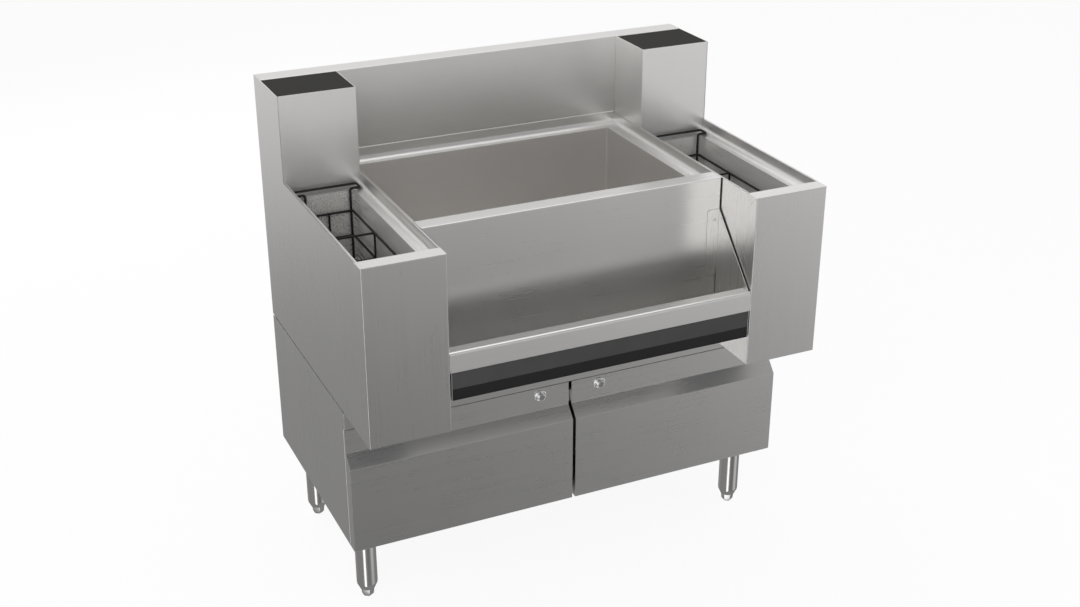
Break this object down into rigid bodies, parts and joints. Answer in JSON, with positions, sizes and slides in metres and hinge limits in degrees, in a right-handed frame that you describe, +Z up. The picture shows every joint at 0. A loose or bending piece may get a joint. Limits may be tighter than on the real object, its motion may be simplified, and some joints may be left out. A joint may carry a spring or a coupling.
{
  "type": "underbar cocktail station",
  "caption": "Stainless underbar station with an ice bin, bottle wells in two forward wings, a speed rail, a backsplash with towers, and a lockable two-door cabinet on adjustable legs.",
  "frame": {"origin": "centre of the footprint rectangle on the floor", "axes": "+X right seen from the front, -Y front (the user's side), +Y back (wall side), +Z up"},
  "size_m": [0.9144, 0.6096, 0.957],
  "materials": {
    "stainless": "brushed stainless sheet, satin grain",
    "stainless_inner": "stainless tubs and inner sheets, dull satin",
    "galvanised": "galvanised sheet and plates",
    "black_moulding": "black moulded lining",
    "black_seal": "black foam tape",
    "dark_strip": "dark grey extruded strip",
    "black_strip": "black coated angle, semi-gloss",
    "foam": "rigid insulation foam",
    "black_wire": "black coated steel wire",
    "chrome": "polished chrome lock",
    "bronze": "sintered bronze bush"
  },
  "bodies": {
    "station": {"cabinet_side_left": "stainless", "cabinet_side_right": "stainless", "cabinet_back": "galvanised", "cabinet_floor": "galvanised", "cabinet_top": "galvanised", "service_panel": "galvanised", "top_rail": "stainless", "lock_keeper": "stainless_inner", "joint_gasket": "black_seal", "leg_sockets": "galvanised", "leg_tubes": "stainless", "hinge_brackets": "galvanised", "body_floor": "galvanised", "side_wrap_left": "stainless", "side_wrap_right": "stainless", "backsplash": "stainless", "wing_deck_left": "stainless", "wing_deck_right": "stainless", "well_liner_left": "stainless_inner", "well_liner_right": "stainless_inner", "tower_left": "stainless", "tower_right": "stainless", "tower_cap_left": "black_moulding", "tower_cap_right": "black_moulding", "foam_core": "foam", "bin_liner": "stainless_inner", "bin_deck": "stainless", "front_panel": "stainless", "drain_body": "stainless_inner", "drain_strainer": "stainless_inner", "drain_pipe": "dark_strip", "rail_trough": "stainless", "rail_lip": "stainless", "rail_gusset_left": "stainless", "rail_gusset_right": "stainless", "bumper_strip": "dark_strip", "lower_strip": "black_strip"},
    "door_left": {"door_skin_left": "stainless", "door_liner_left": "stainless_inner", "hinge_bushes_left": "bronze", "lock_body_left": "chrome"},
    "door_right": {"door_skin_right": "stainless", "door_liner_right": "stainless_inner", "hinge_bushes_right": "bronze", "lock_body_right": "chrome"},
    "lock_left": {"lock_plug_left": "chrome"},
    "lock_right": {"lock_plug_right": "chrome"},
    "rack_left": {"bottle_rack_left": "black_wire"},
    "rack_right": {"bottle_rack_right": "black_wire"},
    "foot_front_left": {"foot_front_left": "stainless"},
    "foot_front_right": {"foot_front_right": "stainless"},
    "foot_back_left": {"foot_back_left": "stainless"},
    "foot_back_right": {"foot_back_right": "stainless"}
  },
  "joints": [
    {"name": "door_left_hinge", "type": "hinge", "parent": "station", "child": "door_left", "pos_m": [-0.4522, -0.153, 0.28], "axis": [0, 0, -1], "range_deg": [0, 95]},
    {"name": "door_right_hinge", "type": "hinge", "parent": "station", "child": "door_right", "pos_m": [0.4522, -0.153, 0.28], "axis": [0, 0, 1], "range_deg": [0, 95]},
    {"name": "lock_left_turn", "type": "hinge", "parent": "door_left", "child": "lock_left", "pos_m": [-0.0637, -0.15, 0.393], "axis": [0, -1, 0], "range_deg": [0, 90]},
    {"name": "lock_right_turn", "type": "hinge", "parent": "door_right", "child": "lock_right", "pos_m": [0.0637, -0.15, 0.393], "axis": [0, 1, 0], "range_deg": [0, 90]},
    {"name": "rack_left_lift", "type": "slide", "parent": "station", "child": "rack_left", "axis": [0, 0, 1], "range_m": [0, 0.16]},
    {"name": "rack_right_lift", "type": "slide", "parent": "station", "child": "rack_right", "axis": [0, 0, 1], "range_m": [0, 0.16]},
    {"name": "foot_front_left_screw", "type": "slide", "parent": "station", "child": "foot_front_left", "axis": [0, 0, -1], "range_m": [0, 0.02]},
    {"name": "foot_front_right_screw", "type": "slide", "parent": "station", "child": "foot_front_right", "axis": [0, 0, -1], "range_m": [0, 0.02]},
    {"name": "foot_back_left_screw", "type": "slide", "parent": "station", "child": "foot_back_left", "axis": [0, 0, -1], "range_m": [0, 0.02]},
    {"name": "foot_back_right_screw", "type": "slide", "parent": "station", "child": "foot_back_right", "axis": [0, 0, -1], "range_m": [0, 0.02]}
  ]
}
